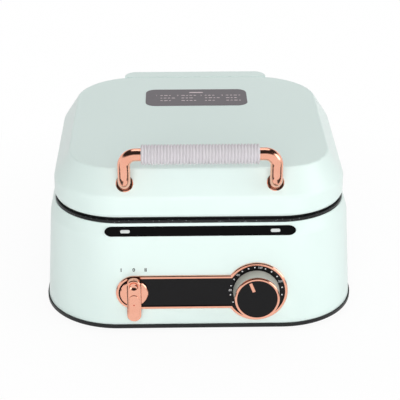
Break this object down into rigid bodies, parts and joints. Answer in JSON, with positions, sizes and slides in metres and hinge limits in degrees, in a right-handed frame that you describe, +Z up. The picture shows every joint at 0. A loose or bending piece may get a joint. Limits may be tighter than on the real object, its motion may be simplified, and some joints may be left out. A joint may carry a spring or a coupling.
{
  "type": "pancake maker",
  "caption": "Square-round countertop pancake cooker with a deep lower pan, a hinged heated lid, a front carrying handle, a temperature knob and a heat selector lever.",
  "frame": {"origin": "middle of the whole footprint, on the surface the feet stand on", "axes": "+Z up, -Y towards the front where the controls and the handle are, +X to the right of someone facing the front"},
  "size_m": [0.356, 0.3848, 0.2233],
  "materials": {
    "ivory_housing": "fine satin moulded shell",
    "black_plastic": "fine satin moulding",
    "black_gloss": "polished moulding",
    "coated_pan": "cast, with a dark non-stick coating",
    "rose_gold": "polished copper-coloured plating",
    "knob_grey": "satin moulding",
    "grip_grey": "ribbed moulded sleeve",
    "label_tint": "tinted plate, satin",
    "frosted_window": "frosted",
    "lamp_glass": "clear",
    "bright_sheet": "rolled sheet",
    "zinc_steel": "zinc plated",
    "tube_steel": "heat-darkened sheath",
    "nickel_plate": "nickel plated",
    "cast_hinge": "die cast",
    "nylon": "natural nylon",
    "foot_rubber": "moulded"
  },
  "bodies": {
    "base": {"base_shell": "ivory_housing", "bottom_cover": "black_plastic", "control_bracket": "zinc_steel", "control_panel": "black_gloss", "cover_screws": "zinc_steel", "foot_front_left": "foot_rubber", "foot_front_right": "foot_rubber", "foot_rear_left": "foot_rubber", "foot_rear_right": "foot_rubber", "hinge_tower_left": "cast_hinge", "hinge_tower_right": "cast_hinge", "indicator_lamp_left": "lamp_glass", "indicator_lamp_right": "lamp_glass", "indicator_lens_left": "frosted_window", "indicator_lens_right": "frosted_window", "indicator_strip": "black_gloss", "inlet_blades": "nickel_plate", "lower_heat_shield": "bright_sheet", "lower_heating_tube": "tube_steel", "lower_pan": "coated_pan", "lower_shield_screws": "zinc_steel", "panel_bezel": "rose_gold", "power_inlet": "black_plastic", "rotary_switch": "black_plastic", "thermostat": "zinc_steel", "tower_screws": "zinc_steel"},
    "hinge_carriage": {"hinge_pin": "zinc_steel", "pin_clips": "zinc_steel", "hinge_bush_left": "nylon", "hinge_bush_right": "nylon"},
    "lid": {"lid_shell": "ivory_housing", "hinge_housing": "ivory_housing", "lid_frame": "black_plastic", "upper_plate": "coated_pan", "upper_heating_tube": "tube_steel", "upper_heat_shield": "bright_sheet", "upper_shield_screws": "zinc_steel", "label_plate": "label_tint", "handle_rod": "rose_gold", "handle_grip": "grip_grey", "handle_washers": "zinc_steel", "handle_screws": "zinc_steel", "frame_screws": "zinc_steel", "ear_screws": "zinc_steel", "arm_screws": "zinc_steel", "hinge_arm_left": "zinc_steel", "hinge_arm_right": "zinc_steel", "handle_collar_left": "rose_gold", "handle_collar_right": "rose_gold"},
    "knob": {"knob_skirt": "knob_grey", "knob_ring": "rose_gold", "knob_cap": "black_gloss", "knob_pointer": "rose_gold", "thermostat_shaft": "zinc_steel"},
    "lever": {"lever_disc": "rose_gold", "selector_lever": "rose_gold", "switch_shaft": "zinc_steel"}
  },
  "joints": [
    {"name": "hinge_float", "type": "slide", "parent": "base", "child": "hinge_carriage", "axis": [0, 0, 1], "range_m": [0, 0.005]},
    {"name": "lid_hinge", "type": "hinge", "parent": "hinge_carriage", "child": "lid", "pos_m": [0, 0.17838, 0.15], "axis": [-1, 0, 0], "range_deg": [0, 105]},
    {"name": "knob_turn", "type": "hinge", "parent": "base", "child": "knob", "pos_m": [0.0625, -0.17399, 0.0482], "axis": [0, -0.9987, 0.0504], "range_deg": [-270, 0]},
    {"name": "lever_turn", "type": "hinge", "parent": "base", "child": "lever", "pos_m": [-0.074, -0.17299, 0.04815], "axis": [0, -0.9987, 0.0504], "range_deg": [-30, 30]}
  ]
}
